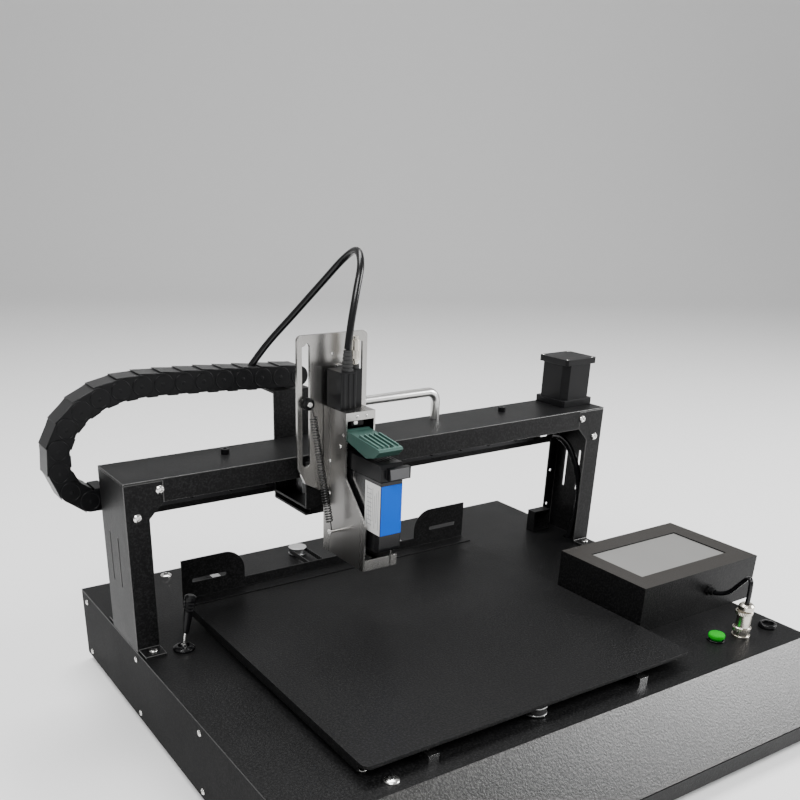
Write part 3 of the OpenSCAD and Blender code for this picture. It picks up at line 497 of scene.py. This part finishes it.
# The start button's faint emission is a painted glow
paint("start_button", green_lens, 0.3)
paint("power_button", gloss_black, 0.3)
paint("jog_lever", black_plastic, 0.2,
      [(screw_steel, lambda c, n: lever_low.z + STEM_LOW < c.z < lever_low.z + STEM_HIGH)])


# ---------------------------------------------------------------- cable chain
# Each link's slope below -X, in degrees, from the carriage round to the anchor
CHAIN_SLOPES = [-2, -3, -3, -3, -3, -2, -2, 0, 5, 15, 28, 44, 64, 88, 114, 146, 180, 180]
LINK_PITCH, LINK_H, CHAIN_LIFT, CHAIN_START = 25, 28.0, 14.4, 18
LOBE, PLATE, PLATE_LEAN, PLATE_INSET = 12.4, 1.2, 0.055, 0.6
# Lathe profiles of a joint's raised ring and its pin, and each link's two bars
JOINT_RING = [(9.2, -0.3), (9.2, 0.22), (9.9, 0.3), (10.6, 0.22), (10.6, -0.3)]
JOINT_PIN = [(0, 0.25), (2.1, 0.25), (2.4, -0.3)]
OUTER_BAR = [(-14.5, 12.9), (15.5, 11.2), (15.5, 12.2), (-14.5, 13.9)]
INNER_BAR_X, INNER_BAR_Z = (-6.5, 6.5), (-13.6, -11.4)
BAR_INSET = 2.4


def link_places(start_x, start_z):
    """The middle of each link in X and Z, and its turn about Y in radians."""
    x, z = start_x, start_z
    for slope in (math.radians(a) for a in CHAIN_SLOPES):
        step = Vector((-math.cos(slope), -math.sin(slope))) * LINK_PITCH
        yield (x + step.x / 2, z + step.y / 2), -slope
        x, z = x + step.x, z + step.y


def lobe_outline(half_pitch, r):
    """A link's side plate: square at one joint and round about the next."""
    arc = [(half_pitch + r * math.cos(a), r * math.sin(a))
           for a in (math.radians(d) for d in range(-90, 91, 10))]
    return arc + [(-half_pitch, r), (-half_pitch, -r)]


def make_chain():
    """The chain's links; the run bends between frame and carriage by shape only."""
    low, high = cad("cable_chain")
    width = high.y - low.y
    half = LINK_PITCH / 2
    outline = lobe_outline(half, LOBE)
    bm = bmesh.new()
    start_x = (plate_low.x + plate_high.x) / 2 + CHAIN_START
    start_z = cad("chain_arm")[1].z + CHAIN_LIFT
    for (x, z), turn in link_places(start_x, start_z):
        m = Matrix.Translation((x, low.y, z)) @ Matrix.Rotation(turn, 4, "Y")
        for edge, inward in ((PLATE_INSET, 1), (width - PLATE_INSET, -1)):
            # Each plate leans inwards, so that its round end lies over the next link's square end
            lean = Matrix.Identity(4)
            lean[1][0] = -inward * PLATE_LEAN
            lean[1][3] = edge + inward * PLATE_LEAN * (half + LOBE)
            depth = sorted((0, inward * PLATE))
            add_prism(bm, outline, depth, m @ lean)
            disc = m @ lean @ Vector((half, 0, 0))
            outward = m.to_3x3() @ Vector((0, -inward, 0))
            add_lathe(bm, JOINT_RING, disc, outward, 36)
            add_lathe(bm, JOINT_PIN, disc, outward, 16)
        # The outer bars lap over each other like tiles; the inner bars leave gaps to bend
        # The outer bars take the lighter material, a painted highlight on the chain's top
        add_prism(bm, OUTER_BAR, (BAR_INSET, width - BAR_INSET), m, 1)
        add_box(bm, (INNER_BAR_X[0], BAR_INSET, INNER_BAR_Z[0]),
                (INNER_BAR_X[1], width - BAR_INSET, INNER_BAR_Z[1]), m)
    chain = piece("cable_chain_links", bm, [chain_plastic, chain_bar_painted_highlight], bevel=0.5)
    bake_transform(chain)
    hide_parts("cable_chain")


make_chain()


# ---------------------------------------------------------------- tension spring
SPRING_COILS, COIL_STEPS, WIRE_R, COIL_R = 40, 12, 0.7, 3.8
# The coil fills the middle of the run; a straight hook is left at each end
COIL_START, COIL_END = 0.07, 0.93


def make_spring():
    """The coil spring from the carriage's knob down to the pin on the head."""
    carriage_x = (plate_low.x + plate_high.x) / 2
    low = Vector((head_low.x - 12, 23, 226))
    high = Vector((carriage_x - 36, 46, 363))
    body_low, body_high = low.lerp(high, COIL_START), low.lerp(high, COIL_END)
    axis = (high - low).normalized()
    u = axis.orthogonal().normalized()
    v = axis.cross(u)
    path = [low + u * 2.6 - axis * 2.2, low + u * 3.2 + axis * 1.5]
    for i in range(SPRING_COILS * COIL_STEPS + 1):
        a = 2 * math.pi * i / COIL_STEPS
        centre = body_low.lerp(body_high, i / (SPRING_COILS * COIL_STEPS))
        path.append(centre + COIL_R * (math.cos(a) * u + math.sin(a) * v))
    path += [high + u * 3 - axis * 2, high + u * 1.5 + axis * 1.2]
    bm = bmesh.new()
    add_tube(bm, path, WIRE_R, 6)
    spring = piece("tension_spring_coil", bm, [spring_wire], angle=60)
    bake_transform(spring)
    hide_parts("tension_spring")


make_spring()


# ---------------------------------------------------------------- belts
TOOTH_PITCH = 5.0
BELT_BACK, BELT_THICK = 0.8, 1.45


def belt_track(a, b, radius, step):
    """Points round two pulleys, with outward normals, evenly spaced."""
    along = (b - a)
    length = along.length
    along.normalize()
    side = Vector((-along.y, along.x))
    total = 2 * length + 2 * math.pi * radius
    count = round(total / step)
    for i in range(count):
        s = i * total / count
        if s < length:
            yield a + along * s + side * radius, side
        elif s < length + math.pi * radius:
            t = (s - length) / radius
            n = side * math.cos(t) + along * math.sin(t)
            yield b + n * radius, n
        elif s < 2 * length + math.pi * radius:
            yield b - along * (s - length - math.pi * radius) - side * radius, -side
        else:
            t = (s - 2 * length - math.pi * radius) / radius
            n = -side * math.cos(t) - along * math.sin(t)
            yield a + n * radius, n


def make_belt(name, node):
    """A toothed belt in place of the CAD's plain one, round the longer way of its box."""
    low, high = cad(node)
    half = min(high.x - low.x, high.y - low.y) / 2
    middle_x, middle_y = (low.x + high.x) / 2, (low.y + high.y) / 2
    if high.x - low.x > high.y - low.y:
        ends = Vector((low.x + half, middle_y)), Vector((high.x - half, middle_y))
    else:
        ends = Vector((middle_x, low.y + half)), Vector((middle_x, high.y - half))
    inner = half - BELT_THICK
    bm = bmesh.new()
    rows = []
    for i, (p, n) in enumerate(belt_track(*ends, half - BELT_BACK, TOOTH_PITCH / 4)):
        # Two steps of every four are a tooth
        back = p + n * BELT_BACK
        front = p + n * (inner - half + BELT_BACK if i % 4 in (0, 1) else 0)
        rows.append([bm.verts.new(Vector((q.x, q.y, z)) * MM)
                     for q, z in ((back, low.z), (back, high.z), (front, high.z), (front, low.z))])
    for a, b in zip(rows, rows[1:] + rows[:1]):
        for k in range(4):
            bm.faces.new((a[k], a[(k + 1) % 4], b[(k + 1) % 4], b[k]))
    belt = piece(name, bm, [belt_rubber], "frame")
    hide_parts(node)


make_belt("x_belt_toothed", "x_belt")
make_belt("y_belt_toothed", "y_belt")


# ---------------------------------------------------------------- screws
def add_screw(bm, place, axis, head_r, head_h, recess="cross"):
    """A domed head with a cross or hexagon recess; material 1 is the recess, a dark fill that is
    painted shade.
    """
    steps = 6
    dome = [(head_r, 0), (head_r, head_h * 0.3)]
    dome += [(head_r * math.cos(a), head_h * (0.3 + 0.7 * math.sin(a)))
             for a in (math.pi / 2 * k / steps for k in range(1, steps))]
    add_lathe(bm, [(0, 0)] + dome + [(0, head_h)], place, axis, 32)
    turn = Vector((0, 0, 1)).rotation_difference(Vector(axis)).to_matrix().to_4x4()
    m = Matrix.Translation(place) @ turn @ Matrix.Rotation(math.radians(25), 4, "Z")
    long, thin = head_r * 0.48, head_r * 0.13
    depth = (head_h * 0.6, head_h * 1.02)
    # The recess is a dark block set into the head, painted shade in place of a hollow
    if recess == "cross":
        for a, b in ((long, thin), (thin, long)):
            add_box(bm, (-a, -b, depth[0]), (a, b, depth[1]), m, 1)
    else:
        add_lathe(bm, [(0, depth[0]), (long, depth[0]), (long, depth[1]), (0, depth[1])],
                  place, axis, 6, 1)


DECK_SCREWS = ((-240, -266), (-240, 266), (240, 266))
SMALL_DECK_SCREWS = ((-254, -224), (-254, -239))
COLUMN_FOOT_IN, COLUMN_FOOT_T = 15, 3
MOTOR_SCREW_OFFSET, MOTOR_SCREW_SINK = 23.5, 0.9
HEAD_SIDE_SCREWS = ((24, 322), (46, 300), (46, 262))
HEAD_FRONT_SCREWS = ((-104, 356), (-92, 356))
# How far the head's upper front plate is behind the foremost point of its housing
HEAD_PLATE_SETBACK = 43


def make_screws():
    """Screw heads on the deck, the column feet, the motor and the head."""
    bm = bmesh.new()
    for x, y in DECK_SCREWS:
        add_screw(bm, (x, y, deck_top), (0, 0, 1), 7.5, 3.4)
    for x, y in SMALL_DECK_SCREWS:
        add_screw(bm, (x, y, deck_top), (0, 0, 1), 3.6, 2.4)
    for s in (-1, 1):
        for y in (beam_low.y - 10, beam_high.y + 11):
            add_screw(bm, (s * (beam_high.x - COLUMN_FOOT_IN), y, deck_top + COLUMN_FOOT_T),
                      (0, 0, 1), 5, 2.9)
    screws = piece("deck_screw_heads", bm, [screw_steel, recess_painted_shade], "frame", 0.12)
    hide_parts("deck_screws")

    bm = bmesh.new()
    top = motor_high.z
    for dx in (-1, 1):
        for dy in (-1, 1):
            x = (motor_low.x + motor_high.x) / 2 + dx * MOTOR_SCREW_OFFSET
            y = (motor_low.y + motor_high.y) / 2 + dy * MOTOR_SCREW_OFFSET
            add_screw(bm, (x, y, top - MOTOR_SCREW_SINK), (0, 0, 1), 2.7, 1.4)
    piece("motor_screws", bm, [screw_steel, recess_painted_shade], "frame")

    bm = bmesh.new()
    for y, z in HEAD_SIDE_SCREWS:
        add_screw(bm, (head_low.x, y, z), (-1, 0, 0), 2.6, 1.4, "hex")
    for x, z in HEAD_FRONT_SCREWS:
        add_screw(bm, (x, head_low.y + HEAD_PLATE_SETBACK, z), (0, -1, 0), 1.6, 0.6, "hex")
    piece("head_screws", bm, [screw_steel, recess_painted_shade], "head")


make_screws()


# ---------------------------------------------------------------- small fittings
def knurl(depth):
    """Raises every other side of a lathe by depth."""
    return lambda k: depth if k % 2 else 0


def make_knob():
    """The knurled clamp knob with a bright screw through it."""
    low, high = cad("clamp_knob")
    centre = ((low.x + high.x) / 2, plate_low.y, (low.z + high.z) / 2)
    bm = bmesh.new()
    add_lathe(bm, [(0, 0.4), (6.0, 0.4), (6.4, 1.0), (6.4, 7.4), (5.8, 8.2), (0, 8.2)],
              centre, (0, -1, 0), 72, 0, knurl(0.55))
    add_lathe(bm, [(0, 0), (3.2, 8.2), (3.2, 9.4), (2.5, 9.9), (0, 9.9)], centre, (0, -1, 0), 24, 1)
    add_lathe(bm, [(0, -8), (2.7, -8), (2.7, 0.5), (0, 0.5)], centre, (0, -1, 0), 24, 1)
    knob = piece("clamp_knob_knurled", bm, [black_plastic, screw_steel], "knob")
    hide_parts("clamp_knob")


def make_connectors():
    """Knurled rings on the panel's plug and the head's round connector."""
    bm = bmesh.new()
    place = (socket_x, cad("panel_cable")[0].y + PANEL_CABLE_R, deck_top)
    for z0, z1 in ((9.6, 13.2), (30.4, 34.0)):
        add_lathe(bm, [(8.0, z0), (9.3, z0), (9.3, z1), (8.0, z1)], place, (0, 0, 1), 64, 0,
                  knurl(0.5))
    piece("plug_rings", bm, [brass_nickel], "frame")

    centre = ((round_low.x + round_high.x) / 2, (round_low.y + round_high.y) / 2, round_low.z)
    bm = bmesh.new()
    add_lathe(bm, [(5.0, 11), (5.3, 11), (5.3, 20), (5.0, 20)], centre, (0, 0, 1), 56, 0,
              knurl(0.3))
    piece("round_connector_ring", bm, [brass_nickel], "head")


LABEL_PROUD, LABEL_TOP, LABEL_FOOT = 0.25, 5, 61


def make_labels():
    """A plain blue front panel, and a white side panel with abstract lines."""
    front, side = cart_low.y - LABEL_PROUD, cart_low.x - LABEL_PROUD
    z0, z1 = cart_high.z - LABEL_FOOT, cart_high.z - LABEL_TOP
    bm = bmesh.new()
    add_box(bm, (cart_low.x + 0.6, front, z0), (cart_high.x - 0.6, front + 0.3, z1), material=0)
    add_box(bm, (side, cart_low.y + 0.8, z0), (side + 0.3, cart_low.y + 30, z1), material=1)
    for i in range(7):
        y = cart_low.y + 4 + i * 3.6
        top = z1 - 5 - (i % 3) * 4
        add_box(bm, (side - 0.05, y, z0 + 6 + (i % 2) * 7), (side, y + 0.7, top), material=2)
    for i in range(9):
        z = z0 + 8 + i * 5
        add_box(bm, (side - 0.05, cart_low.y + 17, z), (side, cart_low.y + 26, z + 0.7), material=2)
    piece("cartridge_labels", bm, [label_blue, label_white, label_ink], "cartridge")


THUMB_FACE_Z = (303, 314.5)
RIDGES, RIDGE_PITCH = 6, 4.4


def make_cap_grip():
    """The cap's grey thumb face and its moulded ridges."""
    low, high = cad("cartridge_cap")
    bm = bmesh.new()
    x0, x1 = low.x + 7, high.x - 2
    z0, z1 = THUMB_FACE_Z
    outline = [(x0 + 1.5, z0), (x1, z0), (x1 - 0.5, z1), (x0, z1)]
    add_prism(bm, outline, (low.y - 0.3, low.y + 0.4), Matrix.Identity(4))
    for i in range(RIDGES):
        x = low.x + 5 + i * RIDGE_PITCH
        add_box(bm, (x, low.y + 20, high.z - 0.4), (x + 1.6, low.y + 52, high.z + 0.5), material=1)
    piece("cap_grip", bm, [cap_grey, black_plastic], "cartridge", 0.2)


SCREEN_RIM, SCREEN_GAP, SCREEN_T = 6, 0.2, 0.5


def make_screen():
    """The screen inside the touch panel's black rim, grey as a painted reflection of the bright
    room.
    """
    low, high = cad("touch_screen")
    bm = bmesh.new()
    add_box(bm, (low.x + SCREEN_RIM + SCREEN_GAP, low.y + SCREEN_RIM + SCREEN_GAP, high.z),
            (high.x - SCREEN_RIM - SCREEN_GAP, high.y - SCREEN_RIM - SCREEN_GAP,
             high.z + SCREEN_T))
    piece("screen_painted_reflection", bm, [screen_painted_reflection], "frame", 0.2)


def make_head_front():
    """The black sensor block in the window above the latch, set back from the latch's sweep."""
    bm = bmesh.new()
    mid = (head_low.x + head_high.x - 8) / 2
    add_box(bm, (mid - 7, 21, 343.5), (mid + 9, 28, 351.5))
    add_box(bm, (mid - 4, 20.4, 345), (mid + 1, 21.2, 349.5), material=1)
    piece("head_sensor", bm, [black_plastic, screw_steel], "head", 0.4)


make_knob()
make_connectors()
make_labels()
make_cap_grip()
make_screen()
make_head_front()


# ---------------------------------------------------------------- studio
def make_studio():
    """A pale curved backdrop facing the camera, a soft white world and three soft lamps."""
    bm = bmesh.new()
    half, depth, height, bend, steps = 6000, 5200, 5000, 1500, 12
    outline = [(-depth, 0), (depth - bend, 0)]
    outline += [(depth - bend + bend * math.sin(a), bend - bend * math.cos(a))
                for a in (math.pi / 2 * k / steps for k in range(1, steps + 1))]
    outline += [(depth, height)]
    turn = Matrix.Rotation(-math.radians(CAMERA_YAW), 4, "Z")
    rows = [[bm.verts.new((turn @ Vector((x, y, z))) * MM) for x in (-half, half)]
            for y, z in outline]
    for a, b in zip(rows, rows[1:]):
        bm.faces.new((a[0], a[1], b[1], b[0]))
    mesh = bpy.data.meshes.new("backdrop")
    bm.to_mesh(mesh)
    bm.free()
    mesh.shade_smooth()
    floor = surface("paper", (0.86, 0.86, 0.86), 0.9, grain_scale=300, grain=0.05, depth=0.1,
                    tone=0.01, specular=0.1)
    mesh.materials.append(floor)
    backdrop = bpy.data.objects.new("backdrop", mesh)
    show(backdrop)

    world = bpy.data.worlds.new("studio")
    bpy.context.scene.world = world
    world.use_nodes = True
    world.node_tree.nodes["Background"].inputs["Color"].default_value = (1, 1, 1, 1)
    world.node_tree.nodes["Background"].inputs["Strength"].default_value = 0.45

    def softbox(name, place, aim, size, watts):
        data = bpy.data.lights.new(name, "AREA")
        data.shape, data.size, data.size_y = "RECTANGLE", size[0], size[1]
        data.energy = watts
        lamp = bpy.data.objects.new(name, data)
        lamp.location = place
        lamp.rotation_euler = (Vector(aim) - Vector(place)).to_track_quat("-Z", "Y").to_euler()
        show(lamp)

    softbox("key", (-1.4, -1.2, 2.3), (0, 0, 0.2), (1.5, 1.0), 72)
    softbox("front", (2.2, -1.3, 1.3), (0.3, -0.3, 0.05), (1.3, 1.0), 85)
    softbox("top", (0, 0.8, 2.6), (0, 0.1, 0), (2.2, 1.0), 85)


make_studio()
